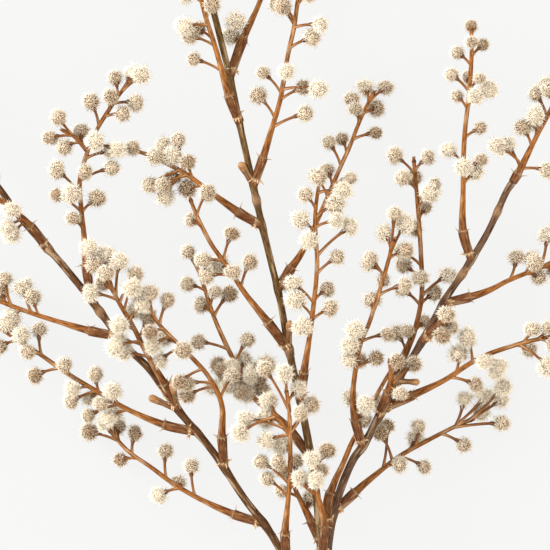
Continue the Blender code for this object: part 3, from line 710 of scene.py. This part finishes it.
class Pile:
    """Vertices, triangles, facts and grain of one piece, gathered from many shapes."""

    def __init__(self):
        self.shapes = []
        self.count = 0

    def add(self, places, triangles, facts, grain=None):
        facts = np.broadcast_to(facts, (len(places), 4))
        self.shapes.append((places, triangles + self.count, facts, places if grain is None else grain))
        self.count += len(places)

    def piece(self, name, material):
        """Makes the object, pressed flat where it reaches the surface, and lets it ride on the branch."""
        places, triangles, facts, grain = (np.vstack(rows) for rows in zip(*self.shapes))
        places = places + CORNER
        places[:, 2] = np.maximum(places[:, 2], 0)
        mesh = bpy.data.meshes.new(name)
        mesh.from_pydata(places.astype(np.float32), [], triangles)
        for key, kind, field, rows in (("facts", "FLOAT_COLOR", "color", facts),
                                       ("grain", "FLOAT_VECTOR", "vector", grain)):
            attribute = mesh.attributes.new(key, kind, "POINT")
            attribute.data.foreach_set(field, rows.astype(np.float32).ravel())
        mesh.shade_smooth()
        mesh.materials.append(material)
        thing = bpy.data.objects.new(name, mesh)
        bpy.context.scene.collection.objects.link(thing)
        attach(thing, "root")
        return thing


def frames_along(places):
    """Two directions square to the way along the places, carried on without twisting."""
    ways = np.gradient(places, axis=0)
    ways /= np.linalg.norm(ways, axis=1)[:, None]
    side = np.cross(ways[0], SIDEWAYS)
    sides = []
    for way in ways:
        side = side - way * side.dot(way)
        side /= np.linalg.norm(side)
        sides.append(side)
    sides = np.array(sides)
    return sides, np.cross(ways, sides)


def add_tube(pile, places, radii, facts, marks=None):
    """A closed tube through places, with a radius for each ring and side, and facts for each ring."""
    rings, count = radii.shape
    sides, ups = frames_along(places)
    turn = np.linspace(0, math.tau, count, endpoint=False)
    across, up = np.cos(turn)[None, :, None], np.sin(turn)[None, :, None]
    skin = places[:, None, :] + (sides[:, None, :] * across + ups[:, None, :] * up) * radii[:, :, None]
    marks = np.arange(rings) * MM if marks is None else marks
    lengthwise = np.broadcast_to(marks[:, None], radii.shape)
    grain = np.stack([radii * np.cos(turn), radii * np.sin(turn), lengthwise], 2)
    first = np.arange((rings - 1) * count)
    second = first - first % count + (first + 1) % count
    triangles = np.vstack([np.column_stack([first, second, second + count]),
                           np.column_stack([first, second + count, first + count])])
    low = rings * count
    high = low + 1
    ring = np.arange(count)
    last = (rings - 1) * count
    triangles = np.vstack([triangles, np.column_stack([(ring + 1) % count, ring, np.full(count, low)]),
                           np.column_stack([last + ring, last + (ring + 1) % count, np.full(count, high)])])
    points = np.vstack([skin.reshape(-1, 3), places[:1], places[-1:]])
    grain = np.vstack([grain.reshape(-1, 3), [[0, 0, marks[0]]], [[0, 0, marks[-1]]]])
    facts = np.broadcast_to(facts, (rings, 4))
    facts = np.vstack([np.repeat(facts, count, axis=0), facts[:1], facts[-1:]])
    pile.add(points, triangles, facts, grain)


def relief(marks, count, draw, depth):
    """Furrows that run along a stem and drift round it, with slow swellings, as shares of its radius."""
    turn = np.linspace(0, math.tau, count, endpoint=False)[None, :]
    out = np.ones((len(marks), count))
    for waves, share in FURROWS:
        drift = draw.uniform(-FURROW_DRIFT, FURROW_DRIFT) * marks[:, None]
        out += depth * share * np.cos(waves * turn + draw.uniform(0, math.tau) + drift)
    knots = np.arange(marks[0], marks[-1] + SWELLING_STEP, SWELLING_STEP)
    slow = np.interp(marks, knots, [draw.uniform(-1, 1) for _ in knots])
    return out + depth * SWELLING_SHARE * slow[:, None]


def swell(marks, place, reach):
    """A smooth rise to 1 at a place along a line."""
    return np.exp(-(((marks - place) / reach) ** 2))


def fact_rows(first, second, third):
    """A row of facts for each ring or vertex."""
    return np.column_stack(np.broadcast_arrays(first, second, third, 1.0))


def line_places(line, marks):
    return np.column_stack([np.interp(marks, line.marks, column) for column in line.places.T])


def add_spine(pile, place, way, length, radius, facts):
    """A thin pointed shred that bends a little as it goes."""
    way = np.array(way) / np.linalg.norm(way)
    bend = np.array((way[1], -way[0], SHRED_RISE[0] * way[2] + SHRED_RISE[1])) * SHRED_BEND * length
    places = np.array(place) + SHRED_PLACES[:, None] * length * way + (SHRED_PLACES ** 2)[:, None] * bend
    add_tube(pile, places, radius * SHRED_TAPER[:, None] * np.ones((1, SIDES_OF_SHRED)), facts)


def add_shreds(pile, line, mark, radius, draw, kind):
    """Torn shreds that stand out round a line at a mark."""
    place = np.array(line.at(mark))
    way = np.array(line.along(mark))
    shred = SHREDS[kind]
    sides, ups = frames_along(np.array([place, place + way * MM]))
    for i in range(shred.count):
        turn = math.tau * (i + draw.uniform(-SHRED_UNEVEN, SHRED_UNEVEN)) / shred.count
        out = sides[0] * math.cos(turn) + ups[0] * math.sin(turn)
        length = shred.longest * draw.uniform(*SHRED_LENGTHS)
        shred_way = out * draw.uniform(*SHRED_OUTS) + way * draw.uniform(*shred.leans)
        facts = (shred.pale, shred.old, draw.random(), 1)
        add_spine(pile, place + out * radius * SHRED_ROOT, shred_way, length, shred.radius, facts)


def add_leader(pile, name, feet, draw):
    """One leader's bark, swollen at each spray's foot and flaky at its knots."""
    line = LINES[name]
    marks = np.arange(0, line.length, STEM_RING_STEP)
    radii = np.array([leader_radius(name, mark) for mark in marks])
    for foot in feet:
        radii += KNUCKLE_HEIGHT * swell(marks, foot, KNUCKLE_REACH)
    radii = radii[:, None] * relief(marks, SIDES_OF_STEM, draw, RELIEF["stem"])
    knots = [line.nearest(*on_sheet(*place)) for leader, place in FLAKY_NODES if leader == name]
    flaky = sum(swell(marks, knot, KNOT_REACH) for knot in knots)
    radii += KNOT_HEIGHT * flaky[:, None] * relief(marks, SIDES_OF_STEM, draw, RELIEF["knot"])
    end = np.minimum(1, (line.length - marks) / STEM_TIP * (1 - STEM_TIP_SHARE) + STEM_TIP_SHARE)
    old = OLD_TONES[name] + (SLEEVE_TONE - OLD_TONES[name]) * np.clip(flaky, 0, 1)
    # Painted shade on the stem just beyond each spray's foot
    dark = sum(FOOT_PAINTED_SHADE * swell(marks, foot + FOOT_PAINTED_SHADE_AT, FOOT_PAINTED_SHADE_REACH) for foot in feet)
    facts = fact_rows(KNOT_PALE * flaky, old, dark)
    add_tube(pile, line_places(line, marks), radii * end[:, None], facts, marks)


def add_cut_face(pile):
    trunk = LINES["middle"]
    cut = np.array([trunk.at(0), trunk.at(MM)])
    cut[0] -= CUT_FACE_DEPTH * (cut[1] - cut[0]) / MM
    face_radii = np.full((2, SIDES_OF_STEM), CUT_FACE_SHARE * leader_radius("middle", 0))
    add_tube(pile, cut, face_radii, (1.0, 0.0, 0.0, 1))


def add_peg(pile, line, root, end, draw):
    start = np.array(line.at(line.nearest(*on_sheet(*root))))
    tip = np.array((*on_sheet(*end[:2]), end[2] * MM))
    share = np.linspace(0, 1, PEG_STATIONS)
    radii = PEG_RADIUS * np.interp(share, *PEG_SHAPE)
    radii = radii[:, None] * relief(share * SHORT_RUN, SIDES_OF_TWIG, draw, RELIEF["peg"])
    pale = PEG_PALE[0] + PEG_PALE[1] * share ** 3
    facts = fact_rows(pale, PEG_OLD * (share < PEG_OLD_END), PEG_DARK * (1 - share))
    add_tube(pile, start + share[:, None] * (tip - start), radii, facts)


def stem_piece(sprays, material):
    """The stem with its leaders, pegs and the shreds of old bark at its nodes."""
    draw = random.Random(SEED + 1)
    pile = Pile()
    for name in LEADERS:
        feet = [spray["leader_mark"] for spray in sprays if leader_of(spray["name"]) == name]
        add_leader(pile, name, feet, draw)
    add_cut_face(pile)
    for name, line in LINES.items():
        for _ in range(SCALES):
            mark = draw.uniform(FIRST_SCALE, 1) * line.length
            add_shreds(pile, line, mark, leader_radius(name, mark), draw, "scale")
    for leader, root, end in [*PEGS, *MORE_PEGS]:
        add_peg(pile, LINES[leader], root, end, draw)
    for leader, place in FLAKY_NODES:
        line = LINES[leader]
        knot = line.nearest(*on_sheet(*place))
        for _ in range(KNOT_TUFTS):
            mark = knot + draw.uniform(-KNOT_SPREAD, KNOT_SPREAD)
            add_shreds(pile, line, mark, leader_radius(leader, mark), draw, "flake")
    return pile.piece("stem_bark", material)


def curved_stalk(root, centre, along):
    """A stalk that sets off along the twig and then bends over to its head."""
    way = centre - root
    handle = root + STALK_SET_OFF * way + STALK_BEND * way.length * along
    share = np.linspace(0, 1, STALK_STATIONS)[:, None]
    root, handle, centre = (np.array(place) for place in (root, handle, centre))
    return (1 - share) ** 2 * root + 2 * share * (1 - share) * handle + share ** 2 * centre


def add_stalk(pile, head, redness, draw):
    """A stalk that swells into a dark cup where it meets its head."""
    share = np.linspace(0, 1, STALK_STATIONS)
    cup = max(FIRST_CUP, 1 - CUP_DEPTH * head["size"] / (head["centre"] - head["root"]).length)
    radii = np.interp(share, (0, STALK_SLIM_FROM, cup - CUP_LENGTH, cup, 1), STALK_RADII)
    radii = radii[:, None] * relief(share * SHORT_RUN, SIDES_OF_STALK, draw, RELIEF["stalk"])
    darker = min(1, redness + draw.uniform(0, STALK_DARKER))
    dark = np.interp(share, (0, cup - CUP_DARK_LENGTH, cup), (redness, darker, CUP_DARK))
    places = curved_stalk(head["root"], head["centre"], head["along"])
    add_tube(pile, places, radii, fact_rows(STALK_PALE, 0.0, dark))


def twig_piece(spray, number, material):
    """A spray's wood: sleeve, torn ring, cone, slim twig, side twigs and stalks."""
    draw = random.Random(SEED + 100 + number)
    pile = Pile()
    line = spray["line"]
    ring = spray["ring"]
    has_collar = not spray["name"].endswith("_top")
    marks = np.arange(0, line.length, TWIG_RING_STEP)
    radii = np.array([spray_radius(spray, mark) for mark in marks])
    radii *= np.interp(line.length - marks, BUD_MARKS, BUD_SHAPE)
    radii = radii[:, None] * relief(marks, SIDES_OF_TWIG, draw, RELIEF["twig"])
    redness = draw.uniform(*REDNESS)
    pale = RING_PALE * swell(marks, ring, RING_REACH)
    pale += has_collar * COLLAR_PALE * swell(marks, COLLAR_MARK, COLLAR_REACH)
    dark = np.maximum(redness, swell(marks, ring, CONE_LENGTH / 2))
    dark += TIP_DARK * (marks > line.length - TIP_DARK_LENGTH)
    facts = fact_rows(pale, SLEEVE_TONE * (marks < ring), dark)
    add_tube(pile, line_places(line, marks), radii, facts, marks)
    add_shreds(pile, line, ring, RING_RADIUS, draw, "ring")
    if has_collar:
        add_shreds(pile, line, COLLAR_MARK + COLLAR_LIP, SLEEVE_RADIUS, draw, "collar")
    for mark in STRIPPED_SLEEVES.get(spray["name"], ()):
        add_shreds(pile, line, COLLAR_MARK + mark * MM, SLEEVE_RADIUS, draw, "strip")
    for axis in (line, *spray["forks"]):
        add_shreds(pile, axis, axis.length - BUD_LENGTH, BUD_LENGTH, draw, "bud")
    for fork in spray["forks"]:
        fork_marks = np.arange(0, fork.length, TWIG_RING_STEP)
        fork_radii = FORK_RADIUS * relief(fork_marks, SIDES_OF_STALK, draw, RELIEF["twig"])
        add_tube(pile, line_places(fork, fork_marks), fork_radii, (0, FORK_OLD, redness, 1), fork_marks)
    for head in spray["heads"]:
        add_stalk(pile, head, redness, draw)
    return pile.piece("twig_" + spray["name"], material)


def unit(ways):
    return ways / np.linalg.norm(ways, axis=-1, keepdims=True)


def fluffy_form(seed, kind):
    """A ball of fine fibres in small tufts, and how far out each vertex counts as lying, 1 at a tip.

    Each fibre is a slim closed needle with its root sunk in the core, and leans towards its tuft's tip.
    """
    draw = np.random.default_rng(seed)
    shape = bmesh.new()
    rounds = 2 if kind.fibres > FINE_CORE_FIBRES else 1
    bmesh.ops.create_icosphere(shape, subdivisions=rounds, radius=kind.core)
    core = np.array([vertex.co[:] for vertex in shape.verts])
    core *= draw.uniform(*CORE_UNEVEN, (len(core), 1))
    faces = np.array([[vertex.index for vertex in face.verts] for face in shape.faces])
    shape.free()
    out = unit(draw.normal(size=(kind.fibres, 3)))
    tufts = unit(draw.normal(size=(kind.tufts, 3)))
    nearest = tufts[np.argmax(out @ tufts.T, axis=1)]
    roots = out * (kind.core - ROOT_DEPTH)
    tips = unit(out + kind.pull * (nearest - out) + draw.normal(0, kind.stray, out.shape))
    shortest, longest = kind.reach
    tips *= shortest + (longest - shortest) * draw.random((len(out), 1)) ** 2
    ways = unit(tips - roots)
    side = unit(np.cross(ways, out[::-1]))
    up = np.cross(ways, side)
    turns = (0, math.tau / 3, 2 * math.tau / 3)
    corners = [roots + kind.width * (side * math.cos(turn) + up * math.sin(turn)) for turn in turns]
    needles = np.stack([*corners, tips], 1).reshape(-1, 3)
    first = len(core) + 4 * np.arange(len(out))
    sides = [np.column_stack([first + i, first + (i + 1) % 3, first + 3]) for i in range(3)]
    bases = np.column_stack([first + 2, first + 1, first])
    # Low values here get the painted shade among the fibres in the material
    outward = np.concatenate([np.full(len(core), kind.heart), np.tile((*[kind.root] * 3, 1.0), len(out))])
    return np.vstack([core, needles]), np.vstack([faces, *sides, bases]), outward


def turned_at_random(draw):
    """A rotation drawn evenly from all rotations."""
    square, _ = np.linalg.qr(draw.normal(size=(3, 3)))
    return square * np.linalg.det(square)


def hidden_spray():
    """The twig behind the right leader, in the same form as the sprays of the layout."""
    line = Line(laid_out(HIDDEN_TWIG))
    return {"name": "right_9", "line": line, "ring": HIDDEN_RING, "forks": [], "heads": []}


def add_more_heads(sprays):
    """Adds the heads that fill the dense places, each at the height where it has the most room."""
    draw = random.Random(SEED + 2)
    centres = [head["centre"] for spray in sprays for head in spray["heads"]]
    for spray in sprays:
        for sheet_place in MORE_HEADS.get(spray["name"], ()):
            place = on_sheet(*sheet_place)
            axis = nearest_axis(spray, place)
            beside = axis.at(axis.nearest(*place))
            size = HEAD_RADIUS * draw.uniform(*HEAD_SIZES)
            options = [Vector((*place, max(beside.z + lift, size))) for lift in LIFTS]
            centre = max(options, key=lambda option: min((option - other).length for other in centres))
            centres.append(centre)
            lean = min(STALK_LEAN * (centre - beside).length, LONGEST_LEAN)
            mark = max(axis.nearest(*place) - lean, 0)
            turn = draw.uniform(0, math.tau)
            spray["heads"].append({"root": axis.at(mark), "centre": centre, "size": size, "turn": turn,
                                   "along": axis.along(mark), "more": True})


def is_near(centre, places):
    x, y = centre.x / SQUARE, (SHEET - centre.y) / SQUARE
    return any(math.hypot(x - across, y - down) < NEAR for across, down in places)


def heads_piece(spray, number, forms, material):
    """A spray's heads: most with short fibres, some burst and pale with a wisp beside, and some brown."""
    draw = np.random.default_rng(SEED + 200 + number)
    pile = Pile()
    for head in spray["heads"]:
        is_brown = is_near(head["centre"], BROWN)
        is_pale = is_near(head["centre"], BURST) or "more" in head or draw.random() < LOOSE_SHARE
        burst = is_pale and not is_brown
        tone = BROWN_TONE if is_brown else MOST_TONE * head["turn"] / math.tau
        centre = np.array(head["centre"])
        kinds = [("short", head["size"] * draw.uniform(*SHORT_SIZES), centre)]
        if burst:
            tone = LOOSE_TONE
            kinds = [("loose", HEAD_RADIUS * draw.uniform(*LOOSE_SIZES), centre)]
            beside = centre + WISP_OFFSET * head["size"] * unit(draw.normal(size=3) * WISP_FLATNESS)
            kinds.append(("wisp", WISP_SHARE * head["size"], beside))
        for kind, size, middle in kinds:
            places, triangles, outward = forms[kind][draw.integers(HEAD_FORMS)]
            shape = places @ turned_at_random(draw).T * size * draw.uniform(*UNROUND, 3)
            # Painted shade: darker on the side of each head that faces away from the key light
            wear_and_painted_shade = np.clip(PAINTED_SHADE_MIDDLE - PAINTED_SHADE_SPAN * unit(shape) @ PAINTED_LIT_SIDE, 0, 1) * HEAD_KINDS[kind].wear
            pile.add(shape + middle, triangles, fact_rows(outward, tone, wear_and_painted_shade))
    return pile.piece("heads_" + spray["name"], material)


class Shader:
    """A Principled material whose nodes are added by short calls."""

    def __init__(self, name):
        self.material = bpy.data.materials.new(name)
        self.material.use_nodes = True
        self.tree = self.material.node_tree
        self.principled = self.tree.nodes["Principled BSDF"]

    def feed(self, socket, value):
        """Links another node's output to a socket, or sets the socket to a plain value."""
        if isinstance(value, bpy.types.NodeSocket):
            self.tree.links.new(value, socket)
        else:
            socket.default_value = value

    def add(self, kind, values=(), **settings):
        node = self.tree.nodes.new(kind)
        for key, setting in settings.items():
            setattr(node, key, setting)
        for key, value in dict(values).items():
            self.feed(node.inputs[key], value)
        return node

    def facts(self):
        """The three facts that each vertex carries."""
        attribute = self.add("ShaderNodeAttribute", attribute_name="facts")
        return self.add("ShaderNodeSeparateColor", {"Color": attribute.outputs["Color"]}).outputs

    def noise(self, vector, scale, detail):
        values = {"Vector": vector, "Scale": scale, "Detail": detail}
        return self.add("ShaderNodeTexNoise", values).outputs["Fac"]

    def ramp(self, factor, stops):
        node = self.add("ShaderNodeValToRGB", {"Fac": factor})
        while len(node.color_ramp.elements) < len(stops):
            node.color_ramp.elements.new(0.5)
        for element, (place, colour) in zip(node.color_ramp.elements, stops):
            element.position = place
            element.color = colour
        return node.outputs["Color"]

    def rise(self, factor, start, stop, low=0.0, high=1.0):
        """A grey that goes from low to high between two values of the factor."""
        return self.ramp(factor, [(start, (low, low, low, 1)), (stop, (high, high, high, 1))])

    def mix(self, factor, first, second, blend="MIX"):
        values = {0: factor, 6: first, 7: second}
        return self.add("ShaderNodeMix", values, data_type="RGBA", blend_type=blend).outputs[2]

    def maths(self, operation, first, second):
        return self.add("ShaderNodeMath", {0: first, 1: second}, operation=operation).outputs[0]

    def surface(self, values):
        """Feeds the Principled node and returns the finished material."""
        for key, value in values.items():
            self.feed(self.principled.inputs[key], value)
        return self.material


def bark_material():
    """Wood of the stem and twigs: streaks along the grain, dark specks and pale torn places."""
    shader = Shader("wattle bark")
    pale, old, dark = shader.facts()
    grain = shader.add("ShaderNodeAttribute", attribute_name="grain").outputs["Vector"]
    stretched = shader.add("ShaderNodeMapping", {"Vector": grain, "Scale": GRAIN_STRETCH}).outputs["Vector"]
    streaks = shader.noise(stretched, *STREAK_GRAIN)
    patches = shader.noise(stretched, *PATCH_GRAIN)
    specks = shader.noise(grain, *SPECK_GRAIN)
    twig = shader.mix(shader.maths("MULTIPLY", dark, TWIG_DARK_SHARE), TWIG_COLOUR, TWIG_DARK)
    tones = [(OLD_TONES[name], STEM_COLOURS[name]) for name in LEADERS]
    bark = shader.ramp(old, sorted([(0.0, TWIG_COLOUR), (SLEEVE_TONE, SLEEVE_COLOUR), *tones]))
    colour = shader.mix(shader.rise(old, *OLD_RISE), twig, bark)
    shade = shader.ramp(streaks, [(STREAK_RISE[0], STREAK_DARK), (STREAK_RISE[1], WHITE)])
    colour = shader.mix(STREAK_SHARE, colour, shade, "MULTIPLY")
    wear_and_painted_shade = shader.maths("MULTIPLY", shader.rise(patches, *PATCH_RISE), PATCH_SHARE)
    colour = shader.mix(wear_and_painted_shade, colour, PALE_TEAR)
    colour = shader.mix(SPECK_SHARE, colour, shader.rise(specks, *SPECK_RISE), "MULTIPLY")
    torn = shader.maths("MULTIPLY", pale, shader.rise(specks, *TEAR_RISE))
    colour = shader.mix(torn, colour, PALE_TEAR)
    ridges = {"Height": streaks, "Strength": BUMP_SHARE, "Distance": BUMP_HEIGHT}
    normal = shader.add("ShaderNodeBump", ridges).outputs["Normal"]
    return shader.surface({"Base Color": colour, "Roughness": BARK_ROUGHNESS,
                           "Specular IOR Level": DULLNESS, "Normal": normal})


def fibre_material():
    """Cream fibres of the flower heads, with painted brown shade among the tufts and away from the light."""
    shader = Shader("wattle fibres")
    outward, tone, wear_and_painted_shade = shader.facts()
    place = shader.add("ShaderNodeTexCoord").outputs["Object"]
    mottling = shader.rise(shader.noise(place, *MOTTLE_GRAIN), *MOTTLE_RISE)
    # Painted shade deep among the fibres: dark at the core and roots, pale at the tips
    core = shader.mix(mottling, FIBRE_PAINTED_SHADE, FIBRE_MIDDLE)
    colour = shader.mix(shader.rise(outward, *FIBRE_RISE), core, FIBRE_TIP)
    # Painted shade, in blotches, on the side of each head away from the light
    painted_shade_colour = shader.mix(1.0, colour, PAINTED_SHADE_TINT, "MULTIPLY")
    blotches = shader.rise(shader.noise(place, *BLOTCH_GRAIN), *BLOTCH_RISE)
    blotched_painted_shade = shader.maths("ADD", shader.maths("MULTIPLY", blotches, BLOTCH_SHARE), PAINTED_SHADE_SHARE)
    colour = shader.mix(shader.maths("MULTIPLY", wear_and_painted_shade, blotched_painted_shade), colour, painted_shade_colour)
    warm = shader.mix(1.0, colour, WARM_TINT, "MULTIPLY")
    inner = shader.rise(outward, *INNER_RISE)
    toned = shader.maths("MULTIPLY", shader.rise(tone, *TONE_RISE), inner)
    colour = shader.mix(toned, colour, warm)
    return shader.surface({"Base Color": colour, "Roughness": FIBRE_ROUGHNESS,
                           "Specular IOR Level": DULLNESS})


def add_floor():
    shader = Shader("pale floor")
    material = shader.surface({"Base Color": FLOOR_COLOUR, "Roughness": FLOOR_ROUGHNESS,
                               "Specular IOR Level": 0.0, "Emission Color": FLOOR_GLOW_COLOUR,
                               "Emission Strength": FLOOR_GLOW})
    bpy.ops.mesh.primitive_plane_add(size=FLOOR_SIZE, location=(0, 0, -FLOOR_DROP))
    floor = bpy.context.object
    floor.name = "floor"
    floor.data.materials.append(material)
    floor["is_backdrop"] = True


def add_lights(middle):
    """A soft key from the upper left of the picture, a weak fill and an even sky."""
    for name, (place, size, power, colour) in LIGHTS.items():
        light = bpy.data.lights.new(name, "AREA")
        light.size = size
        light.energy = power
        light.color = colour
        thing = bpy.data.objects.new(name, light)
        thing.location = middle + Vector(place)
        thing.rotation_euler = (-Vector(place)).to_track_quat("-Z", "Y").to_euler()
        bpy.context.scene.collection.objects.link(thing)
    world = bpy.data.worlds.new("sky")
    world.use_nodes = True
    sky = world.node_tree.nodes["Background"]
    sky.inputs["Color"].default_value = SKY_COLOUR
    sky.inputs["Strength"].default_value = SKY_STRENGTH
    bpy.context.scene.world = world


def add_camera(middle):
    """A long lens straight above the middle of the sheet, so that the whole sheet fills the picture."""
    bpy.context.scene.view_settings.view_transform = "Standard"
    camera = bpy.data.cameras.new("above")
    camera.sensor_width = SENSOR_WIDTH
    camera.lens = camera.sensor_width * (CAMERA_HEIGHT - middle.z) / SHEET
    camera.clip_end = CAMERA_SIGHT
    thing = bpy.data.objects.new("above", camera)
    thing.location = (middle.x, middle.y, CAMERA_HEIGHT)
    bpy.context.scene.collection.objects.link(thing)
    bpy.context.scene.camera = thing


LINES = {name: Line(laid_out(plan.points)) for name, plan in LEADERS.items()}
CORNER = sheet_corner()


def main():
    sprays = laid_branch()
    hidden = hidden_spray()
    add_more_heads([*sprays, hidden])
    bark = bark_material()
    fibres = fibre_material()
    forms = {}
    for name, kind in HEAD_KINDS.items():
        forms[name] = [fluffy_form(SEED + i, kind) for i in range(HEAD_FORMS)]
    stem = stem_piece(sprays, bark)
    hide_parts("stem")
    for number, spray in enumerate([*sprays, hidden]):
        twig = twig_piece(spray, number, bark)
        heads = heads_piece(spray, number, forms, fibres)
        if spray is not hidden:
            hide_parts("spray_" + spray["name"])
            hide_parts("spray_" + spray["name"])
    middle = Vector((SHEET / 2 + CORNER[0], SHEET / 2 + CORNER[1], MEAN_HEIGHT))
    add_floor()
    add_lights(middle)
    add_camera(middle)
    sizes = {"solids": bounds_of_solids, "scene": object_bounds()}
    sizes = {key: [list(corner) for corner in box] for key, box in sizes.items()}


main()
